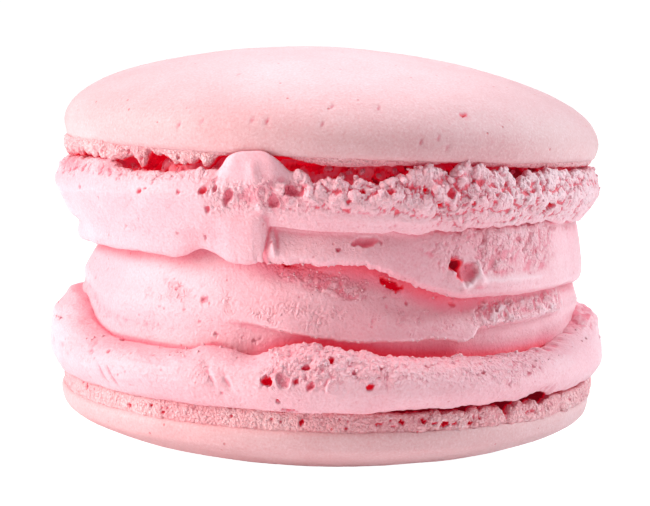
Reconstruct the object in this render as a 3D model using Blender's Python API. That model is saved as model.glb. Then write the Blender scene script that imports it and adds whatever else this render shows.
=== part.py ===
"""Filled French macaron: two domed almond shells with porous feet, and three piped layers of pink cream.

Metres, +Z up. The origin is the middle of the small flat spot under the lower shell, on which the macaron
stands. Angles round the macaron are degrees from the front (-Y), positive towards +X.
"""

import math

import bmesh
import bpy

# ---- driving dimensions -------------------------------------------------------------------------
SHELL_RADIUS = 0.0237
REST_RADIUS = 0.0065  # flat spot under the lower shell
LOWER_BELLY_HEIGHT = 0.00525  # where the lower dome turns into its upright rim
LOWER_RIM_HEIGHT = 0.00635  # smooth edge of the lower shell
LOWER_FOOT_RADIUS = 0.0235
LOWER_FOOT_TOP = 0.00800

UPPER_RIM_HEIGHT = 0.02715  # smooth edge of the upper shell
UPPER_WIDEST_HEIGHT = 0.02860
UPPER_SHELL_RADIUS = 0.0236
UPPER_FOOT_RADIUS = 0.0229
UPPER_LEAN = math.tan(math.radians(1.5))  # the upper shell leans down towards +X
CROWN_HEIGHT = 0.03630

LOWER_SEAM_HEIGHT = 0.01240  # bottom layer to middle layer, on the axis
UPPER_SEAM_HEIGHT = 0.01900  # middle layer to top layer, on the axis
SQUEEZED_RADIUS = 0.02482  # bottom layer, the widest part of the macaron
ROLL_RADIUS = 0.02420  # top layer
ROLL_SHIFT = -0.0003  # which sits a little towards -X
GAP = 0.0003  # clear space between two neighbours

SEGMENTS = 64
DOME_STEPS = 8
WALL_STEPS = 9
SEAM_RADII = (0.0, 0.0075, 0.0135, 0.0172)  # rings of points across the hidden faces

# ---- finishes: base colour, roughness -----------------------------------------------------------
SHELL_FINISH = ((0.86, 0.55, 0.57), 0.62)
CREAM_FINISH = ((0.90, 0.56, 0.66), 0.45)


# ---- curves -------------------------------------------------------------------------------------
def mix(low, high, share):
    return low + (high - low) * share


def ease(low, high, value):
    """0 up to low, 1 from high on and smooth in between."""
    share = min(1.0, max(0.0, (value - low) / (high - low)))
    return share * share * (3.0 - 2.0 * share)


def hump(angle, middle, half_width):
    """1 at the middle, falling smoothly to 0 a half width away on both sides."""
    away = abs((angle - middle + 180.0) % 360.0 - 180.0) / half_width
    return 1.0 - ease(0.0, 1.0, away)


def near_rim(radius):
    """Seams are flat inside and follow their waves near the rim only."""
    return ease(0.0130, 0.0212, radius)


def at_sides(angle):
    """1 at both sides of the macaron, 0 in front and behind."""
    return ease(58.0, 82.0, abs(angle)) * (1.0 - ease(115.0, 160.0, abs(angle)))


def low_on_right(angle):
    """1 in front to the right, where the top layer hangs lowest."""
    return ease(2.0, 31.0, angle) * (1.0 - ease(80.0, 150.0, angle))


# ---- seams: heights of the surfaces between the pieces ------------------------------------------
def lower_foot_seam(angle, radius):
    """Top of the lower shell's foot."""
    return LOWER_FOOT_TOP + 0.00010 * math.sin(math.radians(3.0 * angle + 40.0)) * near_rim(radius)


def lower_cream_seam(angle, radius):
    """The bottom layer is low in front and climbs the middle layer at both sides."""
    wave = -0.0008 + 0.0030 * at_sides(angle)
    wave += 0.0009 * hump(angle, 0.0, 14.0) + 0.0008 * hump(angle, -23.0, 9.0)
    return LOWER_SEAM_HEIGHT + wave * near_rim(radius)


def upper_cream_seam(angle, radius):
    """The top layer's lip hangs over the middle layer, lowest in front to the right."""
    wave = 0.0001 - 0.0027 * low_on_right(angle)
    wave += 0.0008 * hump(angle, -26.0, 11.0)
    return UPPER_SEAM_HEIGHT + wave * near_rim(radius)


def upper_foot_depth(angle):
    """The upper shell's foot is deep on the left and thin on the right."""
    return 0.00035 + 0.0016 * hump(angle, -80.0, 85.0) + 0.0005 * hump(angle, 180.0, 90.0)


def lean(angle, radius):
    """How much higher the leaning upper shell is at this place than on the axis."""
    return -UPPER_LEAN * radius * math.sin(math.radians(angle))


def upper_foot_seam(angle, radius):
    """Underside of the upper shell's foot."""
    return UPPER_RIM_HEIGHT + lean(angle, radius) - upper_foot_depth(angle) * near_rim(radius)


# ---- shaping ------------------------------------------------------------------------------------
def finish(name, colour, roughness):
    material = bpy.data.materials.new(name)
    material.use_nodes = True
    shader = material.node_tree.nodes["Principled BSDF"]
    shader.inputs["Base Color"].default_value = (*colour, 1.0)
    shader.inputs["Roughness"].default_value = roughness
    shader.inputs["Metallic"].default_value = 0.0
    return material


def turned(name, outline_at, material):
    """A closed solid from outlines set side by side round the Z axis.

    outline_at(angle) gives (radius, height) points that start and end on the axis.
    """
    bm = bmesh.new()
    columns = []
    for segment in range(SEGMENTS):
        angle = 360.0 * segment / SEGMENTS - 180.0
        across, along = math.sin(math.radians(angle)), -math.cos(math.radians(angle))
        outline = outline_at(angle)
        if not columns:
            bottom = bm.verts.new((0.0, 0.0, outline[0][1]))
            top = bm.verts.new((0.0, 0.0, outline[-1][1]))
        wall = [bm.verts.new((r * across, r * along, z)) for r, z in outline[1:-1]]
        columns.append([bottom, *wall, top])
    for column, following in zip(columns, columns[1:] + columns[:1]):
        bm.faces.new((bottom, following[1], column[1]))
        bm.faces.new((column[-2], following[-2], top))
        for low in range(1, len(column) - 2):
            bm.faces.new((column[low], following[low], following[low + 1], column[low + 1]))
    bmesh.ops.triangulate(bm, faces=bm.faces)
    bmesh.ops.recalc_face_normals(bm, faces=bm.faces)
    mesh = bpy.data.meshes.new(name)
    bm.to_mesh(mesh)
    bm.free()
    mesh.shade_smooth()
    mesh.materials.append(material)
    piece = bpy.data.objects.new(name, mesh)
    bpy.context.scene.collection.objects.link(piece)
    return piece


def hidden_face(seam, angle, clearance):
    """Points from the axis outwards over a seam, clear of the neighbour."""
    return [(radius, seam(angle, radius) + clearance) for radius in SEAM_RADII]


def layer(name, low_seam, high_seam, wall_at, material):
    """A cream layer between two seams; wall_at(angle, level) gives the radius of its side."""

    def outline_at(angle):
        wall = []
        for step in range(WALL_STEPS + 1):
            level = 0.5 - 0.5 * math.cos(math.pi * step / WALL_STEPS)
            radius = wall_at(angle, level)
            low = low_seam(angle, radius) + GAP / 2.0
            high = high_seam(angle, radius) - GAP / 2.0
            wall.append((radius, mix(low, high, level)))
        under = hidden_face(low_seam, angle, GAP / 2.0)
        over = hidden_face(high_seam, angle, -GAP / 2.0)
        return under + wall + over[::-1]

    return turned(name, outline_at, material)


def bulge(level, peak, low_radius, belly_radius, high_radius, fullness):
    """Radius up a bulging wall that is widest at the peak level."""
    if level < peak:
        return mix(belly_radius, low_radius, (1.0 - level / peak) ** fullness)
    return mix(belly_radius, high_radius, ((level - peak) / (1.0 - peak)) ** fullness)


# ---- the pieces ---------------------------------------------------------------------------------
def shell_bottom(material):
    """Lower shell: flat spot, dome, upright rim and the porous foot on top."""

    def outline_at(angle):
        outline = [(0.0, 0.0), (REST_RADIUS, 0.0)]
        for step in range(1, DOME_STEPS + 1):
            share = math.sin(math.pi / 2.0 * step / DOME_STEPS)
            radius = mix(REST_RADIUS, SHELL_RADIUS - 0.0001, share)
            outline.append((radius, LOWER_BELLY_HEIGHT * (1.0 - (1.0 - share) ** 0.56)))
        outline.append((SHELL_RADIUS, LOWER_RIM_HEIGHT - 0.0003))
        outline.append((SHELL_RADIUS - 0.0001, LOWER_RIM_HEIGHT))
        outline.append((LOWER_FOOT_RADIUS, LOWER_RIM_HEIGHT + 0.0002))
        outline.append((LOWER_FOOT_RADIUS, LOWER_FOOT_TOP - 0.0006))
        foot_edge = LOWER_FOOT_RADIUS - 0.0005
        outline.append((foot_edge, lower_foot_seam(angle, foot_edge) - GAP / 2.0))
        return outline + hidden_face(lower_foot_seam, angle, -GAP / 2.0)[::-1]

    return turned("shell_bottom", outline_at, material)


def cream_bottom(material):
    """Bottom layer: a thick roll squeezed out past the lower shell, spreading upwards at the sides."""

    def wall_at(angle, level):
        front = bulge(level, 0.50, 0.0230, SQUEEZED_RADIUS, 0.0221, 2.4)
        side = bulge(level, 0.38, 0.0236, SQUEEZED_RADIUS, 0.0219, 1.9)
        return mix(front, side, at_sides(angle))

    return layer("cream_bottom", lower_foot_seam, lower_cream_seam, wall_at, material)


def cream_middle(material):
    """Middle layer: set back between the other two and drawn in towards its top on the left."""

    def wall_at(angle, level):
        drawn_in = 0.0010 * hump(angle, -85.0, 65.0) * level
        belly = 0.0214 + 0.0009 * hump(angle, 75.0, 60.0)
        return bulge(level, 0.40, 0.0208, belly, 0.0205, 2.2) - drawn_in

    return layer("cream_middle", lower_cream_seam, upper_cream_seam, wall_at, material)


def cream_top(material):
    """Top layer: a hanging fold below and a roll above, parted by a crease that dies out on the left."""
    crease_level = 0.42

    def wall_at(angle, level):
        left = hump(angle, -85.0, 75.0)
        fold_radius = mix(0.0227, 0.0222, left)
        crease_radius = fold_radius - mix(0.0005, 0.0002, left)
        if level < crease_level:
            return bulge(level / crease_level, 0.35, 0.0209, fold_radius, crease_radius, 2.0)
        rise = (level - crease_level) / (1.0 - crease_level)
        shifted = ROLL_RADIUS + ROLL_SHIFT * math.sin(math.radians(angle))
        return bulge(rise, 0.58, crease_radius, shifted, 0.0233, 2.2)

    return layer("cream_top", upper_cream_seam, upper_foot_seam, wall_at, material)


def shell_top(material):
    """Upper shell: the porous foot below, the smooth rim, then the dome up to its crown."""

    def outline_at(angle):
        def tilted(radius, height):
            return radius, height + lean(angle, radius)

        foot_edge = UPPER_FOOT_RADIUS - 0.0004
        outline = hidden_face(upper_foot_seam, angle, GAP / 2.0)
        outline.append((foot_edge, upper_foot_seam(angle, foot_edge) + GAP / 2.0))
        foot_middle = upper_foot_seam(angle, foot_edge) + 0.35 * upper_foot_depth(angle) + GAP
        outline.append((UPPER_FOOT_RADIUS, foot_middle))
        outline.append(tilted(UPPER_FOOT_RADIUS, UPPER_RIM_HEIGHT + GAP))
        outline.append(tilted(UPPER_SHELL_RADIUS - 0.0005, UPPER_RIM_HEIGHT + GAP + 0.0001))
        dome_height = CROWN_HEIGHT - UPPER_WIDEST_HEIGHT
        for step in range(DOME_STEPS):
            share = math.cos(math.pi / 2.0 * step / DOME_STEPS)
            rise = (1.0 - share**1.71) ** 0.466
            outline.append(tilted(UPPER_SHELL_RADIUS * share, UPPER_WIDEST_HEIGHT + dome_height * rise))
        return outline + [(0.0, CROWN_HEIGHT)]

    return turned("shell_top", outline_at, material)


def main():
    for left_over in list(bpy.data.objects):
        bpy.data.objects.remove(left_over)
    shell = finish("almond_shell", *SHELL_FINISH)
    cream = finish("pink_cream", *CREAM_FINISH)
    shell_bottom(shell)
    cream_bottom(cream)
    cream_middle(cream)
    cream_top(cream)
    shell_top(shell)


main()
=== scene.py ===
import functools
import math

import bmesh
import bpy
import numpy as np
from mathutils import Matrix, Vector


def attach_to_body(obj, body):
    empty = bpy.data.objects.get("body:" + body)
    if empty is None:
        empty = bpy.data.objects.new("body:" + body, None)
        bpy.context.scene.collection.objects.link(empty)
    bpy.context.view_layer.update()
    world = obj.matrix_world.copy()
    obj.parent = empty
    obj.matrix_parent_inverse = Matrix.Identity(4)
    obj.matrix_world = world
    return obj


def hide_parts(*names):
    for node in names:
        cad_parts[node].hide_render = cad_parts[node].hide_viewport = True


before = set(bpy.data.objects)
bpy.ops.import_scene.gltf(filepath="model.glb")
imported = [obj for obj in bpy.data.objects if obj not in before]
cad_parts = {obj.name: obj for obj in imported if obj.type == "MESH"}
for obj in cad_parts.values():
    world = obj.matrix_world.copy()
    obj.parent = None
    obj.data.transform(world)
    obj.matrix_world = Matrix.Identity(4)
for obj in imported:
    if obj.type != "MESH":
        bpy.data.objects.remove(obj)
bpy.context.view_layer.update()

# Until a mesh is made, lengths are in millimetres.
# Angles are in degrees from the front, positive towards the right.
MM = 0.001


# ---- curves -------------------------------------------------------------------------------------
def mix(low, high, share):
    return low + (high - low) * share


def ease(low, high, value):
    """0 up to low, 1 from high on and smooth in between."""
    share = np.clip((value - low) / (high - low), 0.0, 1.0)
    return share * share * (3.0 - 2.0 * share)


def hump(angle, middle, half_width):
    """1 at the middle, falling smoothly to 0 a half width away on both sides."""
    return 1.0 - ease(0.0, 1.0, np.abs((angle - middle + 180.0) % 360.0 - 180.0) / half_width)


def span(angle, start, stop, soft):
    """1 between start and stop, with soft ends."""
    return ease(start - soft, start + soft, angle) * (1.0 - ease(stop - soft, stop + soft, angle))


def largest(*values):
    return functools.reduce(np.maximum, values)


def bell(value, middle, width):
    return np.exp(-(((value - middle) / width) ** 2))


class Noise:
    """Seeded waves and cells over points in millimetres."""

    def __init__(self, seed):
        rng = np.random.default_rng(seed)
        self.order = rng.permutation(256)
        self.slopes = rng.normal(size=(256, 3))
        self.slopes /= np.linalg.norm(self.slopes, axis=1)[:, None]
        self.places = rng.random((256, 3))

    def pick(self, cell, step):
        x, y, z = (cell[..., i] + step[i] for i in range(3))
        return self.order[(self.order[(self.order[x & 255] + y) & 255] + z) & 255]

    def wave(self, points, size):
        """Smooth waves of about that size, mostly between -1 and 1."""
        scaled = points / size
        cell = np.floor(scaled).astype(np.int64)
        inside = scaled - cell
        fade = inside**3 * (inside * (inside * 6.0 - 15.0) + 10.0)
        total = 0.0
        for step in np.ndindex(2, 2, 2):
            weight = np.prod(np.where(step, fade, 1.0 - fade), axis=-1)
            total = total + weight * np.sum(self.slopes[self.pick(cell, step)] * (inside - step), axis=-1)
        return 1.6 * total

    def rough(self, points, size, octaves=3, gain=0.5):
        """Waves with finer waves on them."""
        total, share = 0.0, 1.0
        for octave in range(octaves):
            total = total + share * self.wave(points + 17.3 * octave, size / 2.0**octave)
            share *= gain
        return total

    def cells(self, points, size):
        """Distance to the nearest cell middle, in cell sizes, and a number for that cell."""
        scaled = points / size
        cell = np.floor(scaled).astype(np.int64)
        inside = scaled - cell
        near = np.full(points.shape[:-1], 9.0)
        name = np.zeros(points.shape[:-1])
        for step in np.ndindex(3, 3, 3):
            step = np.array(step) - 1
            picked = self.pick(cell, step)
            away = np.sqrt(np.sum((step + self.places[picked] - inside) ** 2, axis=-1))
            closer = away < near
            name = np.where(closer, picked / 256.0, name)
            near = np.where(closer, away, near)
        return near, name


# ---- skins --------------------------------------------------------------------------------------
def spline(knots, places):
    """Smooth curves through knots, an array (knot, column, 2), at places counted in knots."""
    last = len(knots) - 1
    step = np.diff(knots, axis=0)
    length = np.linalg.norm(step, axis=-1, keepdims=True)
    slope = np.zeros(knots.shape)
    slope[1:-1] = 0.5 * (step[1:] + step[:-1])
    # a slope is no longer than the shorter neighbour, so that a long run can't bend a short one
    limit = np.minimum(length[1:], length[:-1])
    steep = np.linalg.norm(slope[1:-1], axis=-1, keepdims=True)
    slope[1:-1] *= np.minimum(1.0, limit / np.maximum(steep, 1e-9))
    low = np.clip(np.floor(places).astype(int), 0, last - 1)
    f = (places - low)[:, None, None]
    return (
        (2 * f**3 - 3 * f**2 + 1) * knots[low]
        + (f**3 - 2 * f**2 + f) * slope[low]
        + (3 * f**2 - 2 * f**3) * knots[low + 1]
        + (f**3 - f**2) * slope[low + 1]
    )


class Skin:
    """A closed skin round the Z axis: rows of points up its outline, columns round it.

    Every point has its level, which is its place on the outline counted in knots, and its turn, which is
    its angle. Its relief is how far it will move along its normal. The material reads its hollow, which is
    above 0 where crimson shade is painted in a dent and below 0 where a highlight is painted on a bump,
    and its grain, 1 where it crumbles.
    """

    def __init__(self, outline, columns, rows, fine, crowding=0.6):
        turn = np.linspace(-math.pi, math.pi, columns, endpoint=False)
        self.angle = np.degrees(2.0 * np.arctan(crowding * np.tan(turn / 2.0)))
        knots = np.array([[np.broadcast_to(part, columns) for part in knot] for knot in outline(self.angle)])
        knots = np.moveaxis(knots, 1, 2).astype(float)
        # rows are spread evenly up the outline, closer together on the fine part
        trial = np.linspace(0.0, len(knots) - 1.0, 600)
        path = spline(knots, trial).mean(axis=1)
        lengths = np.linalg.norm(np.diff(path, axis=0), axis=1)
        middle = (trial[1:] + trial[:-1]) / 2.0
        lengths *= np.where((middle > fine[0]) & (middle < fine[1]), 1.0, 0.05)
        travelled = np.concatenate([[0.0], np.cumsum(lengths)])
        self.place = np.interp(np.linspace(0.0, travelled[-1], rows), travelled, trial)
        flat = spline(knots, self.place)
        across = np.sin(np.radians(self.angle))
        along = -np.cos(np.radians(self.angle))
        radius, height = flat[..., 0], flat[..., 1]
        self.points = np.stack([radius * across, radius * along, height], axis=-1)
        self.level = np.broadcast_to(self.place[:, None], radius.shape)
        self.turn = np.broadcast_to(self.angle[None, :], radius.shape)
        self.relief = np.zeros(radius.shape)
        self.hollow = np.zeros(radius.shape)
        self.grain = np.zeros(radius.shape)

    @property
    def height(self):
        return self.points[..., 2]

    @property
    def radius(self):
        return np.hypot(self.points[..., 0], self.points[..., 1])

    def normals(self, points=None):
        points = self.points if points is None else points
        up = np.gradient(points, axis=0)
        round_ = np.roll(points, -1, axis=1) - np.roll(points, 1, axis=1)
        normal = np.cross(round_, up)
        return normal / np.maximum(np.linalg.norm(normal, axis=-1, keepdims=True), 1e-9)

    def rough(self, seed, size, octaves=3, gain=0.5, stretch=1.0):
        """Noise over the skin. Its waves are shorter where the stretch is above 1."""
        return Noise(seed).rough(self.points * stretch, size, octaves, gain)

    def paint_shade(self, tint):
        """Paints shade: makes every point at least as deep in colour as the tint."""
        self.hollow = np.maximum(self.hollow, tint)

    def shift(self, tint, share):
        """Moves the painted shading towards the tint by the share: a tint below 0 paints a highlight, above 0
        shade.
        """
        self.hollow = mix(self.hollow, tint, share)

    def settle(self):
        """Moves every point along its normal by the relief gathered so far."""
        self.points = self.points + self.normals() * self.relief[..., None]
        self.relief = np.zeros(self.relief.shape)

    def paint_dip_shade(self, share, reach, low, high, where=1.0):
        """Paints shade into dents about as wide as the reach, in points, and a highlight on what stands out.
        """
        smooth = self.points
        width = 2 * reach + 1
        for _ in range(3):
            smooth = sum(np.roll(smooth, step, axis=1) for step in range(-reach, reach + 1)) / width
            padded = np.pad(smooth, ((reach, reach), (0, 0), (0, 0)), mode="edge")
            smooth = sum(padded[step : step + len(self.points)] for step in range(width)) / width
        dent = np.sum((smooth - self.points) * self.normals(smooth), axis=-1)
        self.hollow = np.maximum(self.hollow, share * ease(low, high, dent) * where)
        raised = 0.5 * share * ease(low, high, -dent) * where
        self.hollow = np.where(self.hollow < 0.01, -raised, self.hollow)

    def near(self, angle, height, reach, rows):
        """The window of columns around a place on the outer face, and each point's offset from the place."""
        middle = int(np.argmin(np.abs((self.angle - angle + 180.0) % 360.0 - 180.0)))
        low, high = np.searchsorted(self.place, rows)
        row = low + int(np.argmin(np.abs(self.height[low:high, middle] - height)))
        gap = np.linalg.norm(self.points[row, middle] - self.points[row, middle - 1])
        half = int(reach / max(gap, 1e-3)) + 2
        window = np.arange(middle - half, middle + half + 1) % len(self.angle)
        return window, self.points[:, window] - self.points[row, middle]

    def pit(self, angle, height, size, depth, rim=0.25, wide=1.0, lean=0.0, rows=(0.0, 99.0), red=1.0):
        """A bubble that has burst: a steep hole with a thin raised rim."""
        # no two bubbles are quite round or stand quite upright
        odd = math.sin(12.9 * angle + 7.8 * height)
        lean, wide = lean + 0.6 * odd / wide**2, wide * (1.1 + 0.3 * odd)
        window, offset = self.near(angle, height, 2.6 * size * max(wide, 1.0), rows)
        a = math.radians(angle)
        side = offset[..., 0] * math.cos(a) + offset[..., 1] * math.sin(a)
        deep = offset[..., 0] * math.sin(a) - offset[..., 1] * math.cos(a)
        up = offset[..., 2]
        side, up = (
            side * math.cos(lean) + up * math.sin(lean),
            up * math.cos(lean) - side * math.sin(lean),
        )
        away = np.sqrt((side / wide) ** 2 + up**2 + deep**2) / size
        away = away * (1.0 + 0.38 * Noise(7).rough(self.points[:, window], 1.5 * size, 2, 0.5))
        inside = np.clip(1.0 - away**2, 0.0, 1.0) ** 0.5
        lip = rim * size * bell(away, 1.12, 0.2)
        self.relief[:, window] += lip - depth * inside
        # the hole is painted crimson inside, as shade, as strongly as red asks
        shade = red * ease(1.14, 0.88, away) * min(1.0, depth / 0.3)
        self.hollow[:, window] = np.maximum(self.hollow[:, window], shade)

    def mesh(self, name):
        rows, columns = self.points.shape[:2]
        low = self.points[0].mean(axis=0)
        high = self.points[-1].mean(axis=0)
        coords = np.concatenate([self.points.reshape(-1, 3), [low], [high]]) * MM
        first = np.arange(rows - 1)[:, None] * columns + np.arange(columns)[None, :]
        right = np.arange(rows - 1)[:, None] * columns + (np.arange(columns)[None, :] + 1) % columns
        quads = np.stack([first, right, right + columns, first + columns], axis=-1).reshape(-1, 4)
        ring = np.arange(columns)
        following = (ring + 1) % columns
        foot = rows * columns
        bottom = np.stack([np.full(columns, foot), following, ring], axis=-1)
        top_ring = (rows - 1) * columns
        top = np.stack([top_ring + ring, top_ring + following, np.full(columns, foot + 1)], axis=-1)
        mesh = bpy.data.meshes.new(name)
        mesh.vertices.add(len(coords))
        mesh.vertices.foreach_set("co", coords.astype(np.float32).ravel())
        corners = np.concatenate([quads.ravel(), bottom.ravel(), top.ravel()])
        sizes = np.concatenate([np.full(len(quads), 4), np.full(2 * columns, 3)])
        mesh.loops.add(len(corners))
        mesh.loops.foreach_set("vertex_index", corners.astype(np.int32))
        mesh.polygons.add(len(sizes))
        mesh.polygons.foreach_set("loop_start", (np.cumsum(sizes) - sizes).astype(np.int32))
        mesh.polygons.foreach_set("use_smooth", np.ones(len(sizes), dtype=bool))
        attach(mesh, *(
            np.concatenate([values.ravel(), [values[0].mean(), values[-1].mean()]])
            for values in (self.hollow, self.grain)
        ))
        mesh.update(calc_edges=True)
        mesh.validate()
        return mesh


def attach(mesh, hollow, grain):
    """Stores the two values at every point that the material reads."""
    for label, values in (("hollow", hollow), ("grain", grain)):
        layer = mesh.attributes.new(label, "FLOAT", "POINT")
        layer.data.foreach_set("value", values.astype(np.float32))


def piece(name, mesh, material, node):
    """Puts a mesh in the scene as a piece that stands for a CAD node."""
    obj = bpy.data.objects.new(name, mesh)
    bpy.context.scene.collection.objects.link(obj)
    mesh.materials.append(material)
    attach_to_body(obj, "root")
    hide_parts(node)
    "almond_shell" if "shell" in name else "pink_cream"


# ---- measures of the macaron --------------------------------------------------------------------
LOWER_RIM = 6.35
UPPER_RIM = 27.34
UPPER_WIDEST = 28.6
CROWN = 36.25
UPPER_LEAN = math.tan(math.radians(1.5))


def lean(angle, radius):
    return -UPPER_LEAN * radius * np.sin(np.radians(angle))


def at_sides(angle):
    return ease(58.0, 82.0, np.abs(angle)) * (1.0 - ease(115.0, 160.0, np.abs(angle)))


def low_on_right(angle):
    return ease(2.0, 31.0, angle) * (1.0 - ease(80.0, 150.0, angle))


def rim(angle):
    """Height of the upper shell's rim."""
    return UPPER_RIM - 0.49 * np.sin(np.radians(angle))


def profile(angle, *places, soft=0.0):
    """A height given at a few angles, straight between them, with its corners rounded over the soft width."""
    turns, heights = zip(*places)
    return sum(np.interp(angle + soft * step, turns, heights) for step in (-1.0, -0.5, 0.0, 0.5, 1.0)) / 5.0


def around(angle):
    """Points on a 24 mm circle, for noise that depends on the angle only."""
    a = np.radians(angle)
    return 24.0 * np.stack([np.sin(a), -np.cos(a), 0.0 * a], axis=-1)


def lower_crest(angle, tear=1.0):
    """Upper edge of the bottom layer, where it meets the middle one."""
    height = profile(
        angle, (-180, 13.0), (-120, 13.5), (-85, 14.5), (-70, 14.6), (-62, 12.6), (-55, 11.9), (-40, 11.8),
        (-29, 11.8), (-24, 12.5), (-15, 11.8), (-11, 12.4), (-4, 12.85), (3, 12.6), (9, 12.4), (12, 12.1),
        (25, 11.8), (42, 11.5), (55, 11.6), (63, 12.2), (74, 13.5), (90, 13.9), (125, 13.5), (180, 13.0),
        soft=1.5)
    ragged = ease(-14.0, -9.0, angle) * (1.0 - 0.4 * ease(50.0, 80.0, angle))
    return height + tear * (0.05 + 0.13 * ragged) * Noise(11).rough(around(angle), 1.1, 3, 0.7)


def fold_edge(angle, tear=1.0):
    """Lower edge of the top layer, hanging over the middle one."""
    height = 19.15 + 0.8 * hump(angle, -26.5, 7.0) + 0.15 * hump(angle, -43.0, 9.0)
    height -= 2.75 * low_on_right(angle) + 0.5 * hump(angle, 92.0, 28.0)
    torn = span(angle, -16.0, 26.0, 4.0)
    return height + tear * (0.04 + 0.12 * torn) * Noise(12).rough(around(angle), 1.3, 4, 0.7)


def crease_height(angle):
    """Height of the crease in the top layer, between its torn ring and the fold under it."""
    height = 21.75 + 0.25 * hump(angle, -12.0, 10.0) + 0.5 * hump(angle, 45.0, 30.0)
    ragged = span(angle, 12.0, 68.0, 8.0)
    return height + (0.05 + 0.28 * ragged) * Noise(15).rough(around(angle), 2.6, 4, 0.6)


def on_flap(angle):
    """The smooth flap of cream that laps up over the rim of the upper shell."""
    return span(angle, -19.9, -9.0, 2.4)


def upper_crest(angle):
    """Torn upper edge of the top layer."""
    height = profile(
        angle, (-180, 25.6), (-110, 25.9), (-57, 26.3), (-49, 26.3), (-46.5, 25.7), (-29, 25.8),
        (-25.5, 26.3), (-24, 26.1), (-21.4, 26.2), (-19.8, 27.2), (-17, 27.65), (-12.4, 27.7), (-9.8, 27.1),
        (-7.5, 26.25), (-4.6, 26.2), (-3, 24.9), (-1.3, 26.0), (1.8, 25.6), (3.1, 25.0), (5.8, 25.9),
        (8.5, 25.4), (11, 25.6), (13, 26.3), (20, 26.5), (27, 26.7), (37, 26.4), (38.4, 25.1), (40.5, 26.0),
        (50, 26.3), (73, 25.9), (120, 25.6), (180, 25.6), soft=0.8)
    torn = (1.0 - span(angle, -20.5, -8.0, 1.0)) * (0.12 + 0.24 * ease(-8.0, 4.0, angle))
    return height + torn * Noise(13).rough(around(angle), 1.1, 3, 0.65)


def upper_foot_edge(angle):
    """Lower edge of the upper shell's foot: torn fingers on the left, a thin band elsewhere."""
    height = profile(
        angle, (-180, 26.3), (-120, 26.2), (-75, 26.8), (-58, 26.85), (-49, 26.65), (-47.5, 26.8),
        (-42.3, 26.8), (-41.2, 25.9), (-39.9, 25.9), (-39.0, 27.35), (-34.0, 27.35), (-32.8, 26.4),
        (-28, 26.4), (-26.8, 27.0), (-26, 27.0), (-25.2, 26.3), (-24.2, 26.4), (-23.2, 27.2), (-19, 27.3),
        (-8, 27.25), (-1, 26.75), (8, 26.7), (21.3, 26.95), (22.4, 27.2), (26.2, 27.2), (27, 26.85),
        (44, 26.65), (75, 26.4), (120, 26.3), (180, 26.3), soft=0.5)
    jag = (0.06 + 0.20 * hump(angle, -60.0, 62.0)) * Noise(14).rough(around(angle), 1.2, 3, 0.65)
    return np.minimum(rim(angle) - 0.06, height + jag)


# ---- relief that several pieces share -----------------------------------------------------------
def granules(seed, points, size):
    """Close-packed rounded grains, from 0 in the gaps to about 1 on top."""
    noise = Noise(seed)
    coarse = noise.cells(points + 0.25 * size * noise.wave(points, size)[..., None], size)[0]
    fine = noise.cells(points + 31.0, 0.55 * size)[0]
    return np.clip(1.15 - coarse - 0.45 * fine, 0.0, 1.0)


def crumbs(seed, points, size, octaves=3):
    """Torn cream: rounded lumps of several sizes heaped together. Mostly between 0 and 1.6."""
    noise = Noise(seed)
    bend = np.stack([noise.rough(points + k, size, 2) for k in (3.0, 41.0, 87.0)], axis=-1)
    total, share = 0.0, 1.0
    for octave in range(octaves):
        near, name = noise.cells(points + 0.2 * size * bend + 19.0 * octave, size)
        total = total + share * np.sqrt(np.clip(1.0 - (near / 0.9) ** 2, 0.0, 1.0)) * (0.5 + 0.9 * name)
        share *= 0.5
        size *= 0.5
    return total


def whipped(skin, seed, where, strength=1.0):
    """The fine unevenness of whipped cream: a slight roughness, scattered pinpricks and short drag marks."""
    noise = Noise(seed)
    patchy = 0.35 + 0.65 * ease(-0.3, 0.5, noise.rough(skin.points + 9.0, 3.2, 3, 0.6))
    skin.relief += 0.026 * strength * where * patchy * noise.rough(skin.points, 0.6, 3, 0.75)
    near, name = noise.cells(skin.points, 0.8)
    skin.relief -= 0.09 * strength * where * patchy * ease(0.24, 0.08, near) * (name > 0.76)
    near, name = noise.cells(skin.points + 77.0, 0.5)
    skin.relief += 0.05 * strength * where * patchy * ease(0.3, 0.1, near) * (name > 0.7)


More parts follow.
